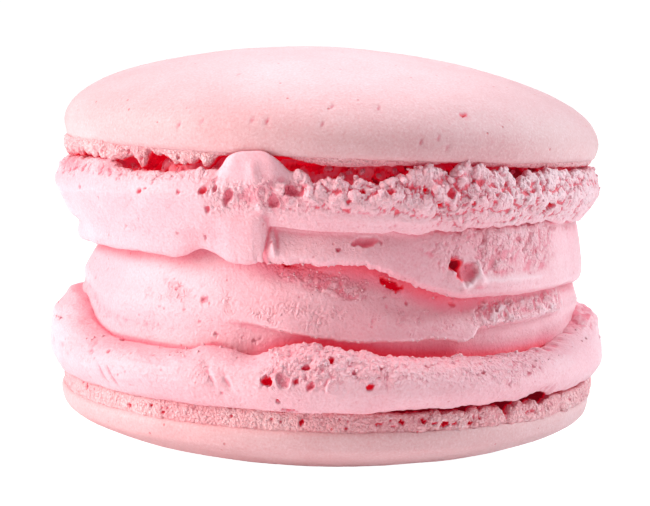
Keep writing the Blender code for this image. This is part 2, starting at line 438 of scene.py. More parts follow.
# ---- shells -------------------------------------------------------------------------------------
def upper_dome():
    def outline(angle):
        def at(radius, height):
            return radius, height + lean(angle, radius)

        low = rim(angle)
        knots = [at(0.0, 28.15), at(14.0, 27.95)]
        knots += [(21.5, low + 0.15), (22.9, low + 0.02), (23.22, low), (23.42, low + 0.24)]
        for share in (1.0, 0.995, 0.98, 0.955, 0.915, 0.86, 0.79, 0.70, 0.59, 0.46, 0.31, 0.15, 0.02):
            rise = (1.0 - share**1.713) ** 0.466
            knots.append(at(23.68 * share, mix(UPPER_WIDEST, CROWN, rise)))
        return knots

    skin = Skin(outline, 440, 80, (2.8, 99.0), 0.7)
    outside = ease(3.0, 3.6, skin.level)
    skin.relief += 0.07 * outside * skin.rough(21, 7.0, 2)
    skin.relief += 0.018 * outside * skin.rough(22, 1.2, 3, 0.6)
    right = ease(-10.0, 35.0, skin.turn) * ease(34.0, 30.5, skin.height)
    skin.relief += 0.03 * outside * right * skin.rough(23, 0.8, 3, 0.65, stretch=(1.0, 1.0, 1.8))
    skin.settle()
    for angle, height, size in (
        (-30, 29.7, 0.13), (-25, 29.8, 0.1), (-15, 30.2, 0.1), (-12, 29.9, 0.15), (-2, 30.0, 0.11),
        (0, 31.3, 0.12), (9, 31.3, 0.12), (27, 30.7, 0.24), (17, 28.8, 0.13), (20, 28.9, 0.11),
        (22, 28.4, 0.1), (-24, 33.5, 0.12), (95, 30.4, 0.2), (140, 31.0, 0.16), (-120, 30.8, 0.18),
        (-160, 29.6, 0.16),
    ):
        skin.pit(angle, height, size, 1.3 * size, rim=0.1, rows=(5.0, 99.0))
    skin.settle()
    # painted shade on the lower right side of the dome, away from the lamps
    side_shade = 0.13 * hump(skin.turn, 27.0, 26.0) * ease(32.0, 29.0, skin.height) * outside
    skin.paint_shade(side_shade)
    return skin


def upper_foot():
    def outline(angle):
        edge = upper_foot_edge(angle)
        top = rim(angle) + 0.12
        out = 22.95 + 0.5 * hump(angle, -78.0, 60.0) + 0.25 * hump(angle, 95.0, 50.0)
        out -= 1.3 * span(angle, -14.5, -8.5, 2.0)
        return [
            (0.0, 26.6), (14.0, 26.5), (20.8, np.maximum(edge, 26.2) + 0.3),
            (out - 1.1, edge + 0.15), (out - 0.5, edge), (out - 0.14, mix(edge, top, 0.25)),
            (out, mix(edge, top, 0.62)), (out, top), (21.5, top + 0.3), (0.0, UPPER_RIM + 0.6),
        ]

    skin = Skin(outline, 900, 40, (2.4, 7.2), 0.5)
    outer = span(skin.level, 2.2, 7.4, 0.5)
    left = hump(skin.turn, -60.0, 62.0)
    skin.relief += outer * (0.06 + 0.36 * left) * (crumbs(31, skin.points, 1.25) - 1.0)
    skin.relief += 0.03 * outer * skin.rough(33, 0.5, 3, 0.7)
    skin.settle()
    for angle, height, size in (
        (-64, 26.8, 0.2), (-60, 27.1, 0.16), (-55, 26.9, 0.18), (-52.5, 27.2, 0.14), (-44, 27.2, 0.16),
        (-40.5, 26.7, 0.2), (-31, 26.9, 0.18), (-29, 26.6, 0.14), (-6, 27.1, 0.12), (44, 26.8, 0.14),
        (60, 26.8, 0.14),
    ):
        skin.pit(angle, height, size, 1.6 * size, rim=0.1, rows=(3.0, 7.2), red=0.8)
    skin.settle()
    # painted shade in the foot's dents and highlights on its bumps
    skin.paint_dip_shade(0.4, 2, 0.004, 0.06, outer * (1.0 - 0.7 * left))
    skin.paint_dip_shade(0.6, 5, 0.03, 0.25, outer * (1.0 - 0.6 * left))
    # painted light: the left of the foot, towards the lamps, is made lighter
    skin.hollow = np.where(skin.hollow < 0.12, skin.hollow - left * outer, skin.hollow)
    # painted shade: deeper rose over the front and right, away from the lamps
    front_shade = 0.33 * span(skin.turn, -22.0, 40.0, 8.0) * outer
    skin.hollow = np.where(skin.hollow < 0.2, skin.hollow + front_shade, skin.hollow)
    # painted shade under the foot and on its hidden inner face
    under = np.maximum(ease(22.3, 21.6, skin.radius), ease(4.6, 4.0, skin.level))
    skin.paint_shade(under * mix(1.0, 1.3, ease(-8.0, 6.0, skin.turn)))
    skin.grain = outer
    return skin


def lower_dome():
    def outline(angle):
        knots = [(0.0, 0.0), (3.2, 0.0), (6.3, 0.0), (6.9, 0.03)]
        for share in (0.16, 0.32, 0.47, 0.61, 0.73, 0.83, 0.91, 0.96, 0.99):
            knots.append((mix(6.5, 23.6, share), 5.25 * (1.0 - (1.0 - share) ** 0.56)))
        knots += [(23.68, 5.7), (23.66, 6.1), (23.45, LOWER_RIM)]
        return knots + [(22.4, LOWER_RIM + 0.08), (0.0, LOWER_RIM + 0.2)]

    skin = Skin(outline, 400, 44, (8.0, 15.5), 0.7)
    outside = ease(3.6, 5.0, skin.level)
    skin.relief += 0.05 * outside * skin.rough(41, 6.0, 2)
    skin.relief += 0.015 * outside * skin.rough(42, 0.9, 3, 0.6)
    skin.settle()
    return skin


def lower_foot():
    def outline(angle):
        out = 23.42 + 0.25 * hump(angle, 80.0, 50.0) + 0.06 * Noise(43).rough(around(angle), 4.0, 2)
        notch = 0.75 * span(angle, 36.9, 39.3, 1.0) + 0.45 * span(angle, 47.0, 50.0, 1.0)
        notch += 0.3 * hump(angle, 28.5, 2.0)
        top = 7.95 - 0.25 * ease(2.0, 15.0, angle) + 0.2 * ease(60.0, 90.0, angle) - notch
        top = top + (0.05 + 0.16 * ease(12.0, 32.0, angle)) * Noise(44).rough(around(angle), 1.5, 3, 0.7)
        return [
            (0.0, 6.5), (22.0, 6.4), (out - 0.1, 6.28),
            (out, 6.5), (out + 0.03, mix(6.4, top, 0.4)), (out, mix(6.4, top, 0.7)),
            (out - 0.15, top), (out - 1.2, top + 0.02), (20.5, 7.6), (0.0, 7.6),
        ]

    skin = Skin(outline, 900, 34, (1.8, 7.4), 0.5)
    outer = span(skin.level, 2.3, 7.0, 0.3)
    right = ease(0.0, 25.0, skin.turn)
    skin.relief += (0.1 + 0.2 * right) * outer * (crumbs(51, skin.points, 1.0) - 1.0)
    skin.relief += 0.02 * outer * skin.rough(52, 0.5, 3, 0.7)
    near, name = Noise(53).cells(skin.points * (1.0, 1.0, 1.4), 0.7)
    skin.relief -= 0.2 * outer * ease(0.28, 0.08, near) * (name > 0.6)
    skin.settle()
    for angle, height, size, wide in (
        (-58, 7.4, 0.2, 1.0), (-42, 6.9, 0.2, 1.0), (-36, 7.3, 0.14, 1.4), (-33, 6.8, 0.15, 1.0),
        (-18, 7.2, 0.14, 1.0), (-4.5, 7.1, 0.24, 1.0), (4, 6.75, 0.12, 1.6), (10, 6.95, 0.13, 2.4),
        (19, 7.1, 0.2, 1.6), (21, 6.9, 0.13, 2.8), (25.5, 6.8, 0.15, 3.0), (13, 6.75, 0.1, 2.4),
        (14.6, 7.15, 0.2, 1.7), (23.2, 6.85, 0.18, 2.0), (29, 6.75, 0.16, 2.0), (31, 7.1, 0.14, 1.2),
        (44, 7.0, 0.12, 1.4),
    ):
        skin.pit(angle, height, 0.9 * size, 2.0 * size, rim=0.1, wide=wide, rows=(2.0, 6.5), red=1.15)
    skin.settle()
    # painted shade in the foot's dents and highlights on its bumps
    skin.paint_dip_shade(0.8, 2, 0.004, 0.06, outer)
    skin.paint_dip_shade(0.7, 5, 0.03, 0.2, outer)
    # painted shade: deeper rose over the front and right, away from the lamps
    front = ease(0.0, 12.0, skin.turn) * ease(64.0, 44.0, skin.turn)
    skin.hollow = np.where(skin.hollow < 0.2, skin.hollow + 0.27 * front * outer, skin.hollow)
    # painted shade on the underside and the hidden inner face
    under = np.maximum(ease(23.0, 22.7, skin.radius), ease(6.2, 6.8, skin.level))
    skin.paint_shade(1.3 * under)
    skin.grain = outer
    return skin


# ---- cream --------------------------------------------------------------------------------------
def lower_cream():
    def outline(angle):
        crest = lower_crest(angle)
        even = lower_crest(angle, 0.0)
        side = at_sides(angle)
        belly = 10.3
        lip = 7.8 + 0.28 * ease(5.0, 20.0, angle) * (1.0 - ease(66.0, 90.0, angle))
        lip += 0.35 * hump(angle, 46.5, 7.0)
        ragged = 0.03 + 0.09 * ease(5.0, 20.0, angle) + 0.12 * hump(angle, 50.0, 16.0)
        lip += ragged * Noise(61).rough(around(angle), 2.2, 4, 0.65)
        out = 24.72 + 0.06 * Noise(62).rough(around(angle), 9.0, 2)
        shoulder = mix(even, belly, 0.45)
        shelf = hump(angle, 86.0, 24.0)
        left = hump(angle, -84.0, 34.0)
        seam = 21.75 - 0.1 * side + 0.5 * left
        return [
            (0.0, 8.5), (20.6, 8.5), (22.6, lip + 0.25), (23.5, lip + 0.06), (24.1, lip + 0.42),
            (out - 0.05, 9.35), (out, belly), (mix(24.3, 24.2, side) + 0.1 * shelf + 0.25 * left, shoulder),
            (mix(23.5, 23.1, side) + 0.5 * shelf + 0.35 * left, mix(even, shoulder, 0.3)),
            (22.55 + 0.5 * shelf + 0.4 * left, crest - 0.45 * shelf), (seam + 0.4 * shelf, crest - 0.05),
            (20.9, even - 0.6), (18.0, 12.2), (0.0, 12.25),
        ]

    skin = Skin(outline, 970, 100, (2.6, 11.2), 0.52)
    outer = span(skin.level, 3.0, 10.9, 0.4)
    face = (4.0, 10.5)
    skin.relief += 0.14 * outer * skin.rough(63, 4.2, 2)
    drag = ease(-2.0, -14.0, skin.turn) + 0.3
    skin.relief += 0.05 * drag * outer * skin.rough(64, 1.3, 3, 0.5, stretch=(0.5, 0.5, 1.6))
    for angle, height, width in (
        (-21.5, 10.6, 1.3), (-18.0, 10.2, 1.1), (-52.0, 11.0, 1.8), (-47.0, 9.6, 0.9), (-44.0, 9.4, 0.7),
    ):
        stroke = hump(skin.turn, angle - 1.2 * (skin.height - height), width)
        skin.relief -= 0.13 * stroke * bell(skin.height, height, 0.9) * outer
    skin.settle()
    torn = skin.rough(65, 2.2, 4, 0.6)
    high = ease(9.7, 10.8, skin.height + 0.6 * torn)
    right = ease(-14.0, -9.0, skin.turn + 3.0 * torn)
    patch = ease(0.25, 0.55, torn) * ease(9.0, 10.5, skin.height)
    rough = outer * np.clip(high * right + 0.5 * patch * (1.0 - right), 0.0, 1.0)
    calm = 1.0 - 0.85 * ease(38.0, 58.0, skin.turn)
    skin.relief += 0.07 * rough * calm * (granules(66, skin.points, 0.40) - 0.5)
    crumbly = rough * calm * np.maximum(hump(skin.turn, -2.0, 18.0), 0.55)
    shelf = hump(skin.turn, 78.0, 20.0) * ease(12.0, 13.0, skin.height) * outer
    skin.relief += (0.26 * crumbly + 0.4 * shelf) * (crumbs(67, skin.points, 1.2) - 1.0)
    whipped(skin, 68, outer * (1.0 - 0.7 * ease(45.0, 60.0, skin.turn)))
    skin.settle()
    for angle, height, size, depth in (
        (-48, 12.1, 0.26, 0.3), (-46, 11.2, 0.16, 0.2), (-42, 9.5, 0.12, 0.15), (-5.3, 10.5, 0.24, 0.5),
        (-2.6, 10.15, 0.26, 0.35), (0.9, 12.1, 0.3, 0.7), (8, 10.2, 0.24, 0.6), (5, 11.2, 0.18, 0.2),
        (10, 11.5, 0.15, 0.15), (19, 11.5, 0.2, 0.3), (25, 11.6, 0.22, 0.3), (30, 10.9, 0.14, 0.2),
        (41, 10.5, 0.2, 0.25), (43, 10.9, 0.18, 0.3), (39.5, 11.0, 0.16, 0.25), (51, 11.4, 0.2, 0.25),
    ):
        skin.pit(angle, height, size, depth, rim=0.18, rows=face, red=min(1.0, 0.3 + depth))
    skin.pit(-10.4, 10.45, 0.42, 0.8, rim=0.15, wide=1.05, rows=face)
    skin.pit(-3.6, 11.5, 0.2, 0.5, wide=2.4, lean=0.3, rows=face, red=0.7)
    skin.pit(-7.6, 10.6, 0.5, 0.25, rim=0.2, rows=face, red=0.12)
    skin.pit(-8.6, 8.9, 0.2, 0.5, wide=0.7, rows=(3.0, 10.5))
    skin.pit(-6.5, 8.1, 0.2, 0.8, wide=4.0, rows=(2.6, 10.5))
    skin.settle()
    # painted shade in dents and highlights on bumps
    skin.paint_dip_shade(0.45, 2, 0.002, 0.05, outer)
    skin.paint_dip_shade(0.45, 6, 0.04, 0.24, outer)
    # painted shade in the torn shelf on the right
    skin.paint_shade(0.6 * shelf * ease(-0.5, 0.3, torn) * (skin.level > 8.0))
    # painted shade along the seam to the middle layer, with a crimson crease line on the left
    seam = ease(21.5, 20.9, skin.radius) * (skin.level > 8.0)
    # painted highlight: a sheen on the left front
    sheen = 0.7 * hump(skin.turn, -33.0, 16.0) * bell(skin.height, 10.2, 1.1) * (skin.hollow < 0.1)
    skin.shift(-1.0, sheen)
    left_crease_shade = 0.55 * span(skin.turn, -64.0, -22.0, 4.0) * ease(22.5, 22.0, skin.radius) * (skin.level > 8.0)
    seam = np.maximum(0.9 * seam, left_crease_shade)
    skin.paint_shade(seam)
    # painted shade on the hidden inner face near the foot
    skin.paint_shade(1.3 * ease(3.1, 2.7, skin.level))
    skin.grain = np.maximum(0.8 * rough * calm, 0.15 * outer)
    return skin


def ridge_height(angle):
    """The long ridge on the middle layer where the knife let go. It steps up on the right."""
    height = profile(
        angle, (-60, 15.3), (-17.6, 14.4), (-5.6, 13.65), (4, 13.15), (16, 13.2), (24, 13.3),
        (30.5, 12.95), (32, 13.2), (34.5, 14.1), (60, 14.5))
    return height + 0.08 * Noise(76).rough(around(angle), 1.4, 3, 0.65) * ease(-8.0, 2.0, angle)


def middle_cream():
    def outline(angle):
        low = lower_crest(angle, 0.0) - 0.9
        high = fold_edge(angle, 0.0) + 0.9
        left = hump(angle, -85.0, 70.0)
        right = hump(angle, 75.0, 60.0)
        belly = 21.3 + 0.4 * left + 0.95 * right
        foot = 21.2 + 0.8 * left + 0.9 * right
        neck = 20.5 - 0.5 * left + 1.2 * right
        return [
            (0.0, 12.6), (18.0, 12.6), (20.2, low), (foot, low + 0.45),
            (mix(foot, belly, 0.8), mix(low, high, 0.26)), (belly + 0.05, mix(low, high, 0.42)),
            (mix(belly, neck, 0.25), mix(low, high, 0.58)), (mix(belly, neck, 0.6), mix(low, high, 0.74)),
            (neck, mix(low, high, 0.9)), (neck - 0.9, high), (18.0, 19.0), (0.0, 19.0),
        ]

    skin = Skin(outline, 820, 84, (2.4, 9.2), 0.5)
    outer = span(skin.level, 2.6, 9.2, 0.5)
    skin.relief += 0.12 * outer * skin.rough(71, 5.0, 2)
    # above the ridge the cream stands out, and below it a smooth wall drops away
    along = ease(-24.0, -4.0, skin.turn) * ease(66.0, 54.0, skin.turn)
    below = ridge_height(skin.turn) - skin.height
    keen = mix(1.0, 0.4, ease(31.0, 36.0, skin.turn))
    rise = ease(-2.6, -0.1, below) * ease(0.28, 0.02, below)
    skin.relief += along * (0.42 * keen * rise - 0.62 * span(below, 0.12, 3.5, 0.2))
    # smeared strokes on the right
    streaked = span(skin.turn, 33.0, 64.0, 2.5) * span(below, -1.7, 0.1, 0.3)
    skin.settle()
    torn = skin.rough(73, 1.8, 4, 0.65)
    track = profile(
        skin.turn, (-40, 20.3), (-14, 19.2), (-8, 18.2), (0, 17.2), (6, 16.8), (16, 16.6),
        (30, 16.0), (70, 15.8))
    patch = span(skin.turn, -15.0, 9.0, 3.0) * span(skin.height - track, -0.6, 1.2, 0.5)
    thin = 0.45 * span(skin.turn, 9.0, 66.0, 3.0) * ease(-0.9, 0.4, skin.height - track)
    speckled = 0.45 * span(skin.turn, -44.0, 33.0, 8.0) * span(below, -2.4, -0.1, 0.6)
    masks = largest(patch, 0.9 * streaked, speckled, thin)
    rough = outer * ease(0.30, 0.75, masks + 0.35 * torn)
    strong = largest(patch, streaked, 0.4)
    skin.relief += rough * strong * (0.07 * (granules(74, skin.points, 0.34) - 0.5))
    skin.relief += 0.16 * rough * np.maximum(patch, 0.4 * streaked) * (crumbs(78, skin.points, 0.8) - 1.0)
    smear = skin.rough(75, 0.9, 3, 0.65, stretch=(1.6, 1.6, 0.55))
    skin.relief += 0.24 * streaked * (smear + 0.6 * np.abs(smear))
    whipped(skin, 72, outer)
    skin.settle()
    for angle, height, size, depth, wide in (
        (-27, 15.9, 0.26, 0.25, 1.0), (-28, 14.1, 0.16, 0.15, 1.0), (-24, 13.2, 0.2, 0.2, 0.8),
        (-15.4, 12.9, 0.14, 0.16, 1.4), (-14.3, 13.05, 0.12, 0.14, 1.0), (17, 16.1, 0.14, 0.2, 1.6),
        (28, 15.9, 0.16, 0.25, 1.6), (36, 15.4, 0.14, 0.35, 2.2), (39, 15.1, 0.16, 0.35, 2.0),
        (13.5, 17.5, 0.34, 0.9, 2.4), (-9, 18.9, 0.22, 0.4, 1.5), (-32, 14.8, 0.14, 0.12, 1.0),
        (-35, 16.4, 0.12, 0.12, 1.5),
    ):
        red = min(0.9, 0.3 + 1.2 * depth)
        skin.pit(angle, height, size, depth, wide=wide, lean=-0.5, rows=(2.6, 9.0), red=red)
    skin.settle()
    # painted shade in dents and highlights on bumps
    skin.paint_dip_shade(0.45, 2, 0.002, 0.05, outer)
    skin.paint_dip_shade(0.5, 6, 0.04, 0.22, outer)
    # painted shade: crimson down the wall towards the seam, a shadow band under the fold, a crimson crease
    # line on the left, crimson in the torn patch, and a faint shade on the right front side, away from the
    # lamps
    seam = skin.height - lower_crest(skin.turn, 0.0)
    under = fold_edge(skin.turn, 0.0) - skin.height
    front = span(skin.turn, -16.0, 62.0, 7.0)
    wall = front * ease(0.0, 0.35, below) * mix(0.12, 0.72, ease(1.5, -0.1, seam))
    near_right = ease(20.0, 50.0, skin.turn)
    band = mix(mix(0.30, 0.66, front), 0.34, near_right)
    band = band * ease(mix(mix(1.3, 2.6, front), 1.2, near_right), 0.2, under + 0.15 * torn)
    left_crease_shade = 0.5 * span(skin.turn, -64.0, -22.0, 4.0) * ease(0.35, 0.05, seam)
    faint = 0.13 * span(skin.turn, 3.0, 33.0, 7.0) * outer
    tint = largest(wall, band, left_crease_shade, 0.5 * patch * ease(-0.5, 0.2, torn), faint)
    # dents on the smooth wall keep less of their painted shade
    smooth_wall = front * span(below, 0.1, 4.0, 0.15)
    dips = np.where(skin.hollow < 0.0, skin.hollow * (1.0 - tint), skin.hollow * (1.0 - 0.8 * smooth_wall))
    skin.hollow = np.maximum(dips, tint) + 0.3 * np.clip(dips, 0.0, tint) * (1.0 - smooth_wall)
    # painted highlights along the ridge and on the smeared streaks
    ridge = along * ease(-0.30, -0.08, below) * ease(0.22, 0.08, below)
    bright = np.maximum(streaked * ease(0.0, 0.35, smear), ridge)
    skin.shift(-0.8, 0.8 * bright * (0.5 + 0.5 * ease(-0.3, 0.3, torn)))
    skin.grain = np.maximum(0.8 * rough, 0.12 * outer)
    return skin


def upper_ring():
    """The torn ring of the top layer, with the lobe on its left that hangs down over the middle layer."""
    def outline(angle):
        crest = upper_crest(angle)
        edge = fold_edge(angle)
        crease = crease_height(angle)
        left = ease(-11.8, -13.4, angle) * (1.0 - ease(-150.0, -178.0, angle))
        far_left = hump(angle, -100.0, 48.0)
        far_right = hump(angle, 95.0, 50.0)
        flap = on_flap(angle)
        even = 25.6 + 1.8 * flap
        roll = 24.15 - 0.3 * np.sin(np.radians(angle)) - 0.35 * hump(angle, 10.0, 60.0)
        shallow = ease(-44.0, -50.0, angle) * (1.0 - ease(-120.0, -150.0, angle))
        shallow += span(angle, 66.0, 120.0, 8.0)

        def knot(right_radius, right_height, left_radius, left_height):
            return mix(right_radius, left_radius, left), mix(right_height, left_height, left)

        return [
            knot(0.0, 22.8, 0.0, 19.6), knot(18.0, 22.8, 18.0, 19.6),
            knot(20.6, crease + 0.7, 20.4, edge + 1.0), knot(21.9, crease + 0.16, 21.5, edge + 0.2),
            knot(22.55 - 0.15 * far_right, crease, 22.1, edge),
            knot(22.75 - 0.3 * far_right, crease + 0.14, 22.38, edge + 0.45),
            knot(
                22.95 - 0.1 * far_right, crease + 0.45 + 0.25 * far_right,
                22.7 - 0.7 * far_left, mix(edge, crease, 0.58),
            ),
            knot(23.3, crease + 0.9 + 0.3 * far_right, 23.2 - 0.3 * far_left, crease - 0.1 - 0.6 * far_left),
            (roll - 0.3, crease + 1.5), (roll, mix(crease, even, 0.62)),
            (roll - 0.3 + 0.3 * flap, np.minimum(mix(crease, even, 0.86), crest - 0.35)),
            (mix(23.25, 23.9, flap), crest),
            (mix(22.6, 23.5, flap), crest - 0.25 * (1.0 - flap) * (1.0 - shallow)),
            (22.2, mix(24.9, 26.1, shallow)), (21.6, mix(25.4, 26.2, shallow)),
            (20.6, mix(26.7, 26.2, shallow)), (0.0, 26.0),
        ]

    skin = Skin(outline, 1000, 98, (2.4, 14.8), 0.5)
    outer = span(skin.level, 2.6, 12.6, 0.4)
    face = (3.0, 12.0)
    low = skin.height
    skin.relief += 0.13 * outer * skin.rough(81, 4.5, 2)
    # the lobe is a soft bulge with a ledge on top and an upright end
    # the bubbly hollow above it ends in the flap
    skin.relief += 0.22 * outer * span(skin.turn, -21.0, -13.3, 2.0) * ease(22.7, 22.2, low)
    arch = low + 0.35 * skin.rough(88, 1.6, 3, 0.6) + 0.25 * bell(skin.turn, -13.5, 3.0)
    bubbly = span(skin.turn + 0.8 * (low - 24.0), -23.0, -4.5, 2.2) * span(arch, 23.1, 25.8, 0.8)
    skin.relief -= 0.14 * bubbly * outer
    upright = bell(skin.turn + 0.5 * (low - 25.0), -13.4, 1.2)
    skin.relief += 0.22 * outer * upright * span(low, 23.3, 26.9, 0.8)
    skin.settle()
    torn = skin.rough(82, 2.4, 4, 0.6)
    fine_torn = skin.rough(86, 1.2, 3, 0.6)
    flap = span(skin.turn, -22.0, -7.0, 1.5) * ease(25.3, 25.9, skin.height + 0.25 * fine_torn)
    climbing = profile(
        skin.turn, (-30, 23.0), (-8, 22.9), (0, 23.3), (12, 22.9), (25, 22.2), (60, 21.9), (90, 22.4))
    high = ease(-0.3, 0.5, skin.height - climbing + 0.45 * torn)
    where = mix(0.08, 1.0, ease(-25.0, -21.0, skin.turn + 2.0 * torn))
    left_crest = 0.9 * ease(24.9, 25.5, skin.height + 0.4 * torn)
    spots = 0.35 * ease(0.45, 0.75, torn)
    rough = outer * np.clip(high * np.maximum(where, left_crest) + spots, 0.0, 1.0)
    rough *= (1.0 - flap) * np.maximum(ease(-13.4, -12.4, skin.turn), ease(22.2, 22.8, skin.height))
    strong = profile(
        skin.turn, (-60, 0.7), (-46, 0.5), (-24, 0.35), (-20, 0.4), (-8, 0.5), (4, 0.75),
        (12, 1.0), (40, 1.0), (60, 0.8), (90, 0.4))
    upward = mix(0.45, 1.0, ease(22.8, 24.8, skin.height))
    skin.relief += 0.47 * rough * strong * upward * (crumbs(83, skin.points, 1.2) - 1.0)
    skin.relief += 0.012 * rough * skin.rough(84, 0.4, 2, 0.7)
    whipped(skin, 85, outer * (1.0 - 0.8 * flap))
    inner = span(skin.level, 12.5, 15.2, 0.3) * (1.0 - shaded(skin.turn))
    lumps = crumbs(87, skin.points, 1.5)
    skin.relief += 0.55 * inner * (lumps - 0.8)
    skin.settle()
    for angle, height, size, depth, wide in (
        (-38, 24.3, 0.2, 0.25, 1.0), (-36.5, 24.5, 0.12, 0.2, 1.0), (-29, 24.4, 0.14, 0.15, 1.8),
        (-24, 24.7, 0.3, 0.42, 0.9), (-23.2, 23.2, 0.2, 0.32, 1.0), (3.5, 24.2, 0.16, 0.3, 1.0),
        (5.9, 24.9, 0.2, 0.6, 1.3), (11, 24.9, 0.26, 0.4, 1.2), (17.8, 25.1, 0.26, 0.7, 1.3),
        (21.1, 23.85, 0.24, 0.6, 1.2), (27.6, 25.5, 0.3, 0.7, 1.0), (27.7, 24.0, 0.22, 0.5, 0.9),
        (33, 24.7, 0.24, 0.4, 0.8), (23, 24.8, 0.45, 0.3, 0.8), (12.6, 26.0, 0.2, 0.4, 1.2),
        (36, 25.3, 0.22, 0.5, 0.8), (-55, 21.6, 0.14, 0.15, 1.0), (-70, 22.7, 0.14, 0.15, 1.0),
        (-31, 21.1, 0.16, 0.15, 1.0), (-25, 20.9, 0.18, 0.2, 1.0), (-45, 21.3, 0.12, 0.12, 1.0),
        (-57, 24.2, 0.18, 0.15, 1.0),
    ):
        red = min(1.0, 0.25 + 1.2 * depth)
        skin.pit(angle, height, size, depth, rim=0.2, wide=wide, rows=face, red=red)
    skin.pit(-10.4, 24.15, 0.5, 0.34, wide=1.1, rows=face, red=0.5)
    skin.pit(-6.5, 24.85, 0.52, 0.36, wide=1.4, lean=0.15, rows=face, red=0.55)
    skin.pit(-18.9, 24.2, 0.36, 0.28, wide=1.3, lean=0.8, rows=face, red=0.6)
    skin.pit(-21.5, 24.8, 0.3, 0.25, rows=face, red=0.3)
    skin.pit(48, 23.3, 0.4, 0.9, wide=1.8, lean=0.5, rows=face)
    skin.settle()
    # painted shade in dents and highlights on bumps, weaker under the flap and on the lobe
    under_flap = 1.0 - 0.5 * span(skin.turn, -23.0, -6.0, 3.0)
    under_flap *= 1.0 - 0.9 * ease(-11.5, -14.5, skin.turn) * ease(23.4, 22.7, skin.height)
    skin.paint_dip_shade(0.7, 2, 0.006, 0.05, outer * under_flap)
    skin.paint_dip_shade(0.68, 5, 0.03, 0.3, outer * under_flap)
    # painted shade, rosy, on the torn crest at the far left
    crest_shade = span(skin.turn, -78.0, -47.0, 4.0) * ease(25.1, 25.8, skin.height) * outer * ease(-0.3, 0.3, torn)
    skin.paint_shade(0.3 * crest_shade)
    # painted highlight on the lace of the bubbly hollow, and painted shade in its holes
    lace_highlight = bubbly * ease(0.0, 0.35, fine_torn) * ease(0.2, 0.05, skin.hollow)
    skin.shift(-0.9, 0.6 * lace_highlight)
    skin.paint_shade(0.3 * bubbly * ease(-0.1, -0.5, fine_torn))
    # painted highlight on the lumps of the torn crest, most on the right
    pale = mix(0.2, 0.6, span(skin.turn, 34.0, 72.0, 6.0)) * rough * ease(0.25, 0.05, skin.hollow)
    skin.shift(-0.9, pale)
    # painted shade in the gap under the upper shell, less on the lumps in it
    inside = ease(22.75, 22.3, skin.radius) * ease(11.6, 12.1, skin.level)
    dim = mix(mix(1.0, 1.3, ease(-8.0, 6.0, skin.turn)), 0.7, shaded(skin.turn))
    dim = dim * mix(1.0, 0.55, ease(0.9, 1.35, lumps))
    skin.shift(dim, inside)
    skin.grain = np.maximum(0.65 * rough, 0.12 * outer * (1.0 - flap))
    return skin


def shaded(angle):
    """Where the ring comes up so close to the upper shell that no gap is left."""
    return ease(-44.0, -50.0, angle) + ease(66.0, 76.0, angle)


